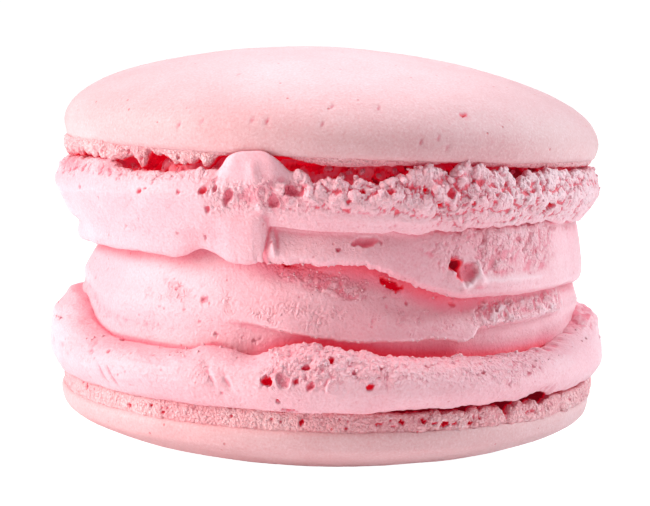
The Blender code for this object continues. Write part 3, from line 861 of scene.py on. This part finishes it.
def upper_fold():
    """The fold under the ring. It is hidden behind the lobe on the left."""
    def outline(angle):
        left = ease(-12.4, -15.0, angle) * (1.0 - ease(-150.0, -178.0, angle))
        edge = fold_edge(angle) + 0.6 * left
        crease = crease_height(angle)
        fold = 22.5 + 0.25 * hump(angle, 60.0, 55.0) - 0.75 * left
        waist = 22.0 - 0.5 * left + 0.4 * span(angle, 18.0, 52.0, 6.0)
        round_ = hump(angle, 90.0, 34.0)
        return [
            (0.0, 19.4), (18.0, 19.4), (20.2, edge + 1.0), (21.2 - 0.4 * left, edge + 0.25),
            (21.85 - 0.7 * left - 0.3 * round_, edge),
            (fold - 0.08 - 0.2 * round_, edge + 0.35 + 0.1 * round_), (fold, edge + 0.8 + 0.9 * round_),
            (mix(fold, waist, 0.4), mix(edge, crease, 0.55 + 0.1 * round_)), (waist, crease - 0.35),
            (21.95 - 0.5 * left, crease + 0.1), (21.0 - 0.3 * left, crease + 0.7), (0.0, crease + 1.1),
        ]

    skin = Skin(outline, 960, 60, (2.6, 9.6), 0.52)
    outer = span(skin.level, 2.8, 9.4, 0.4)
    face = (4.5, 9.4)
    skin.relief += 0.12 * outer * skin.rough(91, 4.5, 2)
    # a bright lip runs along the edge on the right, and curls up beside the hole
    lip = bell(skin.height, 17.7 + 0.004 * (skin.turn - 32.0), 0.3)
    skin.relief += 0.2 * outer * span(skin.turn, 31.5, 52.0, 1.5) * lip
    curl = bell(skin.turn + 0.8 * (skin.height - 18.0), 32.0, 1.0) * bell(skin.height, 18.1, 0.45)
    skin.relief += 0.5 * outer * curl
    # a torn drip hangs beside the lobe
    drip = bell(skin.turn - 0.6 * (21.6 - skin.height), -11.6, 0.5)
    skin.relief += 0.3 * outer * drip * span(skin.height, 19.9, 21.7, 0.3)
    skin.settle()
    torn = skin.rough(92, 2.0, 4, 0.6)
    rough = ease(16.0, 30.0, skin.turn + 5.0 * torn) * span(skin.height, 18.6, 23.5, 0.6)
    rough = outer * rough * (1.0 - 0.85 * ease(50.0, 60.0, skin.turn + 3.0 * torn)) * ease(-0.7, -0.2, torn)
    skin.relief += 0.27 * rough * (crumbs(94, skin.points * (1.0, 1.0, 1.3), 1.0) - 1.0)
    whipped(skin, 95, outer * (1.0 - 0.65 * span(skin.turn, -11.0, 22.0, 4.0)), 0.9)
    skin.settle()
    skin.pit(2.0, 20.4, 0.18, 0.25, rows=face, red=0.5)
    skin.pit(7.5, 20.95, 0.4, 0.5, wide=2.2, rim=0.12, rows=face, red=0.3)
    skin.pit(-11.4, 20.8, 0.16, 0.5, wide=0.5, rows=face, red=0.8)
    skin.pit(28.6, 18.6, 0.95, 0.45, rim=0.2, wide=1.0, lean=-0.45, rows=(3.9, 9.4), red=0.55)
    skin.pit(25.8, 19.15, 0.62, 1.6, rim=0.08, wide=1.2, lean=-0.5, rows=(3.9, 9.4), red=1.25)
    skin.pit(27.0, 18.6, 0.3, 0.35, rim=0.0, wide=1.6, lean=-0.9, rows=(3.9, 9.4), red=0.8)
    skin.pit(44.0, 20.2, 0.2, 0.4, wide=0.6, rows=face, red=0.5)
    for angle, height, size in ((37, 20.6, 0.14), (33, 21.0, 0.12), (40, 19.4, 0.14), (48, 19.8, 0.12)):
        skin.pit(angle, height, size, 1.5 * size, rows=face, red=0.6)
    skin.settle()
    # painted shade in dents and highlights on bumps
    skin.paint_dip_shade(0.45, 2, 0.002, 0.05, outer)
    skin.paint_dip_shade(0.4, 6, 0.04, 0.24, outer)
    # painted shade under the ring, a faint painted shade on the right front side, and crimson shade in the
    # crease beside the lobe
    shade_under_ring = 0.3 * ease(0.5, -0.1, crease_height(skin.turn) - skin.height) * outer
    shade_under_ring = np.maximum(shade_under_ring, 0.15 * span(skin.turn, 10.0, 34.0, 6.0) * outer)
    shade_beside_lobe = 0.6 * bell(skin.turn, -12.6, 0.8) * outer
    skin.paint_shade(shade_under_ring)
    skin.paint_shade(shade_beside_lobe)
    # painted light at the hole: shade in its upper left, and a highlight on the curled lip of its lower right
    # rim
    window, offset = skin.near(28.6, 18.6, 2.4, (3.9, 9.4))
    side = np.hypot(offset[..., 0], offset[..., 1]) * np.sign(offset[..., 0])
    away = np.hypot(side / 1.2, offset[..., 2])
    rim_highlight = ease(-0.2, 0.6, (side - offset[..., 2]) / np.maximum(away, 0.1))
    shady = ease(-0.1, 0.7, -(side + 0.5 * offset[..., 2]) / np.maximum(away, 0.1)) * bell(away, 0.7, 0.28)
    skin.hollow[:, window] = np.maximum(skin.hollow[:, window], 0.8 * shady)
    skin.hollow[:, window] = mix(skin.hollow[:, window], -0.8, 0.85 * rim_highlight * bell(away, 1.08, 0.2))
    # painted highlight along the lip on the right
    lip_highlight = span(skin.turn, 31.5, 50.0, 2.0) * bell(skin.height, 17.85, 0.22)
    skin.shift(-0.7, 0.7 * lip_highlight)
    skin.grain = np.maximum(0.8 * rough, 0.12 * outer)
    return skin


def strewn(name, seed, heaps):
    """Loose crumbs half sunk in the torn cream.

    A heap is a skin, the chance of a crumb at each of its points, how many, the smallest size, the largest
    size and how far they are painted towards a highlight.
    """
    rng = np.random.default_rng(seed)
    balls = []
    for detail in (1, 2):
        shape = bmesh.new()
        bmesh.ops.create_icosphere(shape, subdivisions=detail, radius=1.0)
        places = np.array([corner.co for corner in shape.verts])
        balls.append((places, np.array([[corner.index for corner in face.verts] for face in shape.faces])))
        shape.free()
    points, corners, hollow, count_of_points = [], [], [], 0
    for skin, weight, count, small, large, pale in heaps:
        chance = np.maximum(weight, 0.0).ravel()
        normals = skin.normals().reshape(-1, 3)
        places = skin.points.reshape(-1, 3)
        depth = skin.hollow.ravel()
        for spot in rng.choice(chance.size, count, p=chance / chance.sum()):
            size = mix(small, large, rng.random() ** 2.0)
            ball, faces = balls[int(size > 0.2)]
            turn, _ = np.linalg.qr(rng.normal(size=(3, 3)))
            lumps = 1.0 + 0.45 * Noise(seed).rough(ball * 1.3 + rng.random(3) * 50.0, 1.4, 2)
            crumb = (ball * lumps[:, None] * rng.uniform(0.65, 1.25, 3)) @ turn * size
            points.append(crumb + places[spot] + normals[spot] * size * rng.uniform(-0.3, 0.35))
            corners.append(faces + count_of_points)
            # each crumb takes the painted shade or highlight of its spot, moved towards a painted highlight
            # by pale
            tint = mix(np.clip(depth[spot], -0.3, 1.3), -1.0, pale)
            hollow.append(np.full(len(ball), tint * rng.uniform(0.45, 0.95)))
            count_of_points += len(ball)
    mesh = bpy.data.meshes.new(name)
    mesh.from_pydata((np.concatenate(points) * MM).tolist(), [], np.concatenate(corners).tolist())
    mesh.polygons.foreach_set("use_smooth", np.ones(len(mesh.polygons), dtype=bool))
    attach(mesh, np.concatenate(hollow), np.ones(count_of_points))
    return mesh


# ---- materials ----------------------------------------------------------------------------------
class Nodes:
    """Short calls for building a node tree."""

    def __init__(self, tree):
        self.tree = tree

    def add(self, kind, **inputs):
        node = self.tree.nodes.new(kind)
        for key, value in inputs.items():
            self.put(node, key.replace("_", " "), value)
        return node

    def put(self, node, key, value):
        socket = node.inputs[int(key)] if key.isdigit() else node.inputs[key]
        if isinstance(value, bpy.types.NodeSocket):
            self.tree.links.new(value, socket)
        else:
            socket.default_value = value

    def value(self, name):
        node = self.tree.nodes.new("ShaderNodeAttribute")
        node.attribute_name = name
        return node.outputs["Fac"]

    def math(self, operation, first, second=0.0, clamp=False):
        node = self.tree.nodes.new("ShaderNodeMath")
        node.operation = operation
        node.use_clamp = clamp
        self.put(node, "0", first)
        self.put(node, "1", second)
        return node.outputs[0]

    def times(self, first, second):
        return self.math("MULTIPLY", first, second)

    def plus(self, first, second):
        return self.math("ADD", first, second)

    def blend(self, share, first, second):
        node = self.tree.nodes.new("ShaderNodeMix")
        node.data_type = "RGBA"
        self.put(node, "0", share)
        self.put(node, "6", first)
        self.put(node, "7", second)
        return node.outputs[2]

    def steps(self, value, low, high):
        node = self.add("ShaderNodeMapRange", Value=value)
        node.interpolation_type = "SMOOTHSTEP"
        self.put(node, "From Min", low)
        self.put(node, "From Max", high)
        return node.outputs["Result"]

    def join(self, share, first, second):
        """Part of one shader and part of another."""
        node = self.add("ShaderNodeMixShader")
        self.put(node, "0", share)
        self.put(node, "1", first)
        self.put(node, "2", second)
        return node.outputs[0]

    def noise(self, place, scale, detail=3.0, roughness=0.55):
        node = self.add("ShaderNodeTexNoise", Vector=place, Scale=scale, Detail=detail, Roughness=roughness)
        return node.outputs["Fac"]


def rgb(red, green, blue):
    """A colour given as it looks on a screen, 0 to 255."""
    return tuple((v / 255.0) ** 2.2 for v in (red, green, blue)) + (1.0,)


# crimson of painted shade in dents, grain gaps and pores, of the painted glow, and of faint speckle
DEEP = rgb(215, 4, 38)
ROSY_SHADE = (0.62, 0.035, 0.095, 1.0)
DARKEST_SHADE = (0.16, 0.002, 0.008, 1.0)
MILKY = (1.0, 0.66, 0.74, 1.0)
# sugar specks, partly painted glints
SUGAR_GLINT = (1.0, 0.74, 0.80, 1.0)
# painted highlight on what stands out
HIGHLIGHT_PINK = (1.0, 0.68, 0.75, 1.0)
UNLIT = (0.0, 0.0, 0.0, 1.0)
# in metres
GRAIN_DEPTH = 0.00016
LIGHT_REACH = 0.0003


def food_group():
    """Tint and relief that shells and cream share: mottling, painted crimson shade in hollows, painted
    highlights, a painted red glow, fine grain and sugar specks that are partly painted glints.
    """
    group = bpy.data.node_groups.new("baked_and_whipped", "ShaderNodeTree")
    for side, kind, names in (
        ("INPUT", "NodeSocketColor", ("Surface", "Pale", "Deep")),
        ("INPUT", "NodeSocketFloat", ("Grain Size", "Gaps", "Pores", "Mottle", "Specks")),
        ("OUTPUT", "NodeSocketColor", ("Colour", "Glow")),
        ("OUTPUT", "NodeSocketFloat", ("Height",)),
    ):
        for name in names:
            group.interface.new_socket(name, in_out=side, socket_type=kind)
    n = Nodes(group)
    given = n.add("NodeGroupInput")
    out = n.add("NodeGroupOutput")
    place = n.add("ShaderNodeTexCoord").outputs["Object"]
    # the painted shading: shade where it is above 0, a highlight where below
    dent = n.value("hollow")
    hollow = n.math("MAXIMUM", dent, 0.0)
    raised = n.math("MAXIMUM", n.times(dent, -1.0), 0.0)
    grain = n.value("grain")
    broad = n.noise(place, 190.0, 3.0)
    fine = n.noise(place, 5200.0, 2.0, 0.6)
    pale_share = n.times(n.steps(broad, 0.40, 0.66), given.outputs["Mottle"])
    colour = n.blend(pale_share, given.outputs["Surface"], given.outputs["Pale"])
    # close-packed grains, with painted shade in the gaps between them
    jitter = n.noise(place, 2600.0, 2.0)
    moved = n.add("ShaderNodeVectorMath")
    moved.operation = "MULTIPLY_ADD"
    n.put(moved, "0", jitter)
    n.put(moved, "1", (0.0004, 0.0004, 0.0004))
    n.put(moved, "2", place)
    cells = n.add("ShaderNodeTexVoronoi", Vector=moved.outputs[0], Scale=given.outputs["Grain Size"])
    gap = n.steps(cells.outputs["Distance"], 0.38, 0.72)
    gap = n.times(gap, n.times(grain, given.outputs["Gaps"]))
    colour = n.blend(gap, colour, given.outputs["Deep"])
    # faint speckle everywhere, and painted shade in a few pores
    dull = n.times(n.steps(fine, 0.52, 0.30), 0.14)
    colour = n.blend(dull, colour, given.outputs["Deep"])
    milky = n.times(n.steps(fine, 0.52, 0.74), 0.3)
    colour = n.blend(milky, colour, MILKY)
    holes = n.add("ShaderNodeTexVoronoi", Vector=place, Scale=900.0)
    few = n.math("GREATER_THAN", holes.outputs["Color"], 0.62)
    few = n.times(few, given.outputs["Pores"])
    pore = n.times(n.steps(holes.outputs["Distance"], 0.13, 0.06), few)
    colour = n.blend(pore, colour, given.outputs["Deep"])
    # sugar specks, partly painted glints, more where it crumbles
    speck = n.times(n.steps(n.noise(place, 4200.0, 1.0), 0.62, 0.70), given.outputs["Specks"])
    speck = n.times(speck, n.plus(n.times(grain, 0.8), 0.2))
    colour = n.blend(speck, colour, SUGAR_GLINT)
    # painted highlight on what stands out
    colour = n.blend(raised, colour, HIGHLIGHT_PINK)
    # painted shade in dents: rosy where shallow, crimson deeper, mottled dark and near black where deepest
    shade_mottle = n.times(n.steps(n.noise(place, 800.0, 3.0), 0.42, 0.66), n.steps(hollow, 0.75, 0.95))
    dark = n.math("MAXIMUM", n.times(shade_mottle, 0.5), n.times(n.steps(hollow, 0.95, 1.3), 0.92))
    rosy = n.blend(n.steps(hollow, 0.45, 0.9), ROSY_SHADE, given.outputs["Deep"])
    deep = n.blend(dark, rosy, DARKEST_SHADE)
    colour = n.blend(hollow, colour, deep)
    n.put(out, "Colour", colour)
    tall = n.times(cells.outputs["Distance"], n.times(grain, -1.6))
    tall = n.plus(tall, n.times(fine, n.plus(n.times(grain, 1.0), 0.2)))
    tall = n.plus(tall, n.times(n.noise(place, 1300.0, 2.0), 0.22))
    height = n.math("SUBTRACT", n.plus(tall, n.times(speck, 0.8)), pore)
    n.put(out, "Height", height)
    # painted glow: red light given out by the surface, standing in for light that comes back out of the cream
    # after wandering in it, most in the dents
    everywhere = n.plus(n.times(grain, 0.12), 0.14)
    glow = n.math("MAXIMUM", n.math("POWER", hollow, 1.05), everywhere, True)
    n.put(out, "Glow", n.blend(glow, UNLIT, deep))
    return group


def food(name, group, looks, roughness, shine, bump, soft, glow):
    """A baked or whipped material. The looks are the group's inputs."""
    material = bpy.data.materials.new(name)
    material.use_nodes = True
    n = Nodes(material.node_tree)
    shader = material.node_tree.nodes["Principled BSDF"]
    tint = n.add("ShaderNodeGroup")
    tint.node_tree = group
    for key, value in looks.items():
        tint.inputs[key].default_value = value
    relief = n.add("ShaderNodeBump", Height=tint.outputs["Height"])
    relief.inputs["Strength"].default_value = bump
    relief.inputs["Distance"].default_value = GRAIN_DEPTH
    n.put(shader, "Base Color", tint.outputs["Colour"])
    n.put(shader, "Normal", relief.outputs["Normal"])
    n.put(shader, "Emission Color", tint.outputs["Glow"])
    for key, value in (
        ("Emission Strength", glow), ("Roughness", roughness), ("Specular IOR Level", shine),
        ("Subsurface Weight", soft), ("Subsurface Radius", (1.0, 0.8, 0.8)),
        ("Subsurface Scale", LIGHT_REACH),
    ):
        shader.inputs[key].default_value = value
    return material


# ---- studio -------------------------------------------------------------------------------------
LENS = 88.2
SENSOR = 36.0
CAMERA_PLACE = (-0.28, -143.35, 32.69)
CAMERA_DOWN = 5.95
CAMERA_ROLL = 1.3
# the lights and the floor are in metres
AIM = (0.0, 0.0, 0.018)
SOFTBOX_WIDTH = 0.22
FLOOR_REACH = 3.0
FLOOR_GAP = 0.00002
# name, place, power in watts, colour
SOFTBOXES = (
    ("left_key", (-0.33, -0.09, 0.24), 1.27, (1.02, 1.0, 0.96)),
    ("left_low", (-0.36, -0.095, 0.10), 0.76, (1.0, 1.0, 0.9)),
    ("right_low", (0.37, -0.02, 0.08), 0.2, (0.92, 1.0, 0.98)),
    ("right_high", (0.30, 0.0, 0.28), 1.4, (0.7, 1.0, 0.97)),
    ("overhead", (0.0, 0.0, 0.40), 0.5, (0.87, 1.0, 1.09)),
    ("back", (0.0, 0.25, 0.30), 0.45, (0.88, 1.0, 1.07)),
)


def camera():
    data = bpy.data.cameras.new("camera")
    data.lens = LENS
    data.sensor_width = SENSOR
    data.clip_start = 0.005
    obj = bpy.data.objects.new("camera", data)
    bpy.context.scene.collection.objects.link(obj)
    down, roll = math.radians(CAMERA_DOWN), math.radians(CAMERA_ROLL)
    forward = Vector((0.0, math.cos(down), -math.sin(down)))
    right = Vector((1.0, 0.0, 0.0))
    up = right.cross(forward)
    turned_right = right * math.cos(roll) + up * math.sin(roll)
    turned_up = up * math.cos(roll) - right * math.sin(roll)
    obj.matrix_world = Matrix((turned_right, turned_up, -forward)).transposed().to_4x4()
    obj.matrix_world.translation = Vector(CAMERA_PLACE) * MM
    bpy.context.scene.camera = obj


def softbox(name, place, power, colour):
    data = bpy.data.lights.new(name, "AREA")
    data.shape = "DISK"
    data.size = SOFTBOX_WIDTH
    data.energy = power
    data.color = colour
    obj = bpy.data.objects.new(name, data)
    bpy.context.scene.collection.objects.link(obj)
    obj.location = place
    obj.rotation_euler = (Vector(AIM) - Vector(place)).to_track_quat("-Z", "Y").to_euler()


def studio():
    scene = bpy.context.scene
    scene.view_settings.view_transform = "Standard"
    world = bpy.data.worlds.new("white_room")
    scene.world = world
    world.use_nodes = True
    n = Nodes(world.node_tree)
    seen = world.node_tree.nodes["Background"]
    seen.inputs["Color"].default_value = (1.0, 1.0, 1.0, 1.0)
    seen.inputs["Strength"].default_value = 1.05
    lit = n.add("ShaderNodeBackground", Color=(1.12, 1.0, 0.88, 1.0), Strength=0.07)
    direct = n.add("ShaderNodeLightPath").outputs["Is Camera Ray"]
    both = n.join(direct, lit.outputs[0], seen.outputs[0])
    n.put(world.node_tree.nodes["World Output"], "Surface", both)
    mesh = bpy.data.meshes.new("floor")
    corners = [(FLOOR_REACH * x, FLOOR_REACH * y, 0.0) for x, y in ((-1, -1), (1, -1), (1, 1), (-1, 1))]
    mesh.from_pydata(corners, [], [(0, 1, 2, 3)])
    floor = bpy.data.objects.new("floor", mesh)
    scene.collection.objects.link(floor)
    floor.location.z = -FLOOR_GAP
    white = bpy.data.materials.new("white_table")
    white.use_nodes = True
    m = Nodes(white.node_tree)
    shader = white.node_tree.nodes["Principled BSDF"]
    shader.inputs["Base Color"].default_value = (0.9, 0.9, 0.9, 1.0)
    shader.inputs["Roughness"].default_value = 0.9
    shader.inputs["Specular IOR Level"].default_value = 0.0
    bright = m.add("ShaderNodeEmission", Color=(1.0, 1.0, 1.0, 1.0), Strength=1.4)
    share = m.times(m.add("ShaderNodeLightPath").outputs["Is Camera Ray"], 0.75)
    both = m.join(share, shader.outputs[0], bright.outputs[0])
    m.put(white.node_tree.nodes["Material Output"], "Surface", both)
    mesh.materials.append(white)
    for box in SOFTBOXES:
        softbox(*box)


# ---- build --------------------------------------------------------------------------------------
group = food_group()
shell = food(
    "almond_shell", group,
    {"Surface": rgb(226, 171, 177), "Pale": rgb(230, 180, 186), "Deep": DEEP, "Grain Size": 2600.0,
     "Gaps": 0.0, "Pores": 0.45, "Mottle": 0.7, "Specks": 0.45},
    roughness=0.5, shine=0.2, bump=0.7, soft=0.1, glow=0.3)
foot = food(
    "almond_foot", group,
    {"Surface": rgb(243, 176, 184), "Pale": rgb(248, 198, 203), "Deep": DEEP, "Grain Size": 3800.0,
     "Gaps": 0.15, "Pores": 0.7, "Mottle": 0.8, "Specks": 0.4},
    roughness=0.7, shine=0.25, bump=0.9, soft=0.2, glow=0.45)
cream = food(
    "pink_cream", group,
    {"Surface": rgb(243, 179, 192), "Pale": rgb(246, 190, 202), "Deep": DEEP, "Grain Size": 3300.0,
     "Gaps": 0.2, "Pores": 0.35, "Mottle": 0.7, "Specks": 0.4},
    roughness=0.42, shine=0.25, bump=0.85, soft=0.25, glow=0.45)

skins = {
    "lower_shell_dome": (lower_dome, shell, "shell_bottom"),
    "lower_shell_foot": (lower_foot, foot, "shell_bottom"),
    "lower_cream": (lower_cream, cream, "cream_bottom"),
    "middle_cream": (middle_cream, cream, "cream_middle"),
    "upper_cream_fold": (upper_fold, cream, "cream_top"),
    "upper_cream_ring": (upper_ring, cream, "cream_top"),
    "upper_shell_foot": (upper_foot, foot, "shell_top"),
    "upper_shell_dome": (upper_dome, shell, "shell_top"),
}
built = {}
for name, (build, material, node) in skins.items():
    built[name] = build()
    piece(name, built[name].mesh(name), material, node)

ring, bottom = built["upper_cream_ring"], built["lower_cream"]
fold, centre = built["upper_cream_fold"], built["middle_cream"]
near_front = ease(100.0, 70.0, np.abs(ring.turn))
on_ring = ring.grain * ease(23.2, 25.2, ring.height) * near_front * ease(-14.0, 4.0, ring.turn)
in_gap = ring.hollow * ease(12.0, 12.6, ring.level) * ease(21.0, 21.6, ring.radius) * near_front
frayed = ease(0.35, 0.05, fold.height - fold_edge(fold.turn)) * (fold.level > 3.2)
frayed = frayed * span(fold.turn, -13.0, 25.0, 3.0)
on_bottom = bottom.grain * ease(10.8, 11.6, bottom.height) * ease(100.0, 70.0, np.abs(bottom.turn))
off_ridge = ridge_height(centre.turn) - centre.height
on_ridge = bell(off_ridge, 0.0, 0.1) * span(centre.turn, -10.0, 60.0, 6.0)
on_patch = 0.1 * centre.grain * span(centre.turn, -16.0, 60.0, 4.0) * ease(14.0, 15.0, centre.height)
for name, node, seed, heaps in (
    ("upper_cream_crumbs", "cream_top", 5, (
        (ring, on_ring, 200, 0.10, 0.30, 0.35), (ring, in_gap, 80, 0.2, 0.5, 0.15),
        (ring, in_gap, 120, 0.1, 0.2, 0.2), (fold, frayed, 50, 0.06, 0.14, 0.5),
    )),
    ("lower_cream_crumbs", "cream_bottom", 6, ((bottom, on_bottom, 220, 0.06, 0.2, 0.5),)),
    ("middle_cream_crumbs", "cream_middle", 7, (
        (centre, on_ridge, 200, 0.05, 0.14, 0.8), (centre, on_patch, 160, 0.05, 0.11, 0.7),
    )),
):
    piece(name, strewn(name, seed, heaps), cream, node)
camera()
studio()
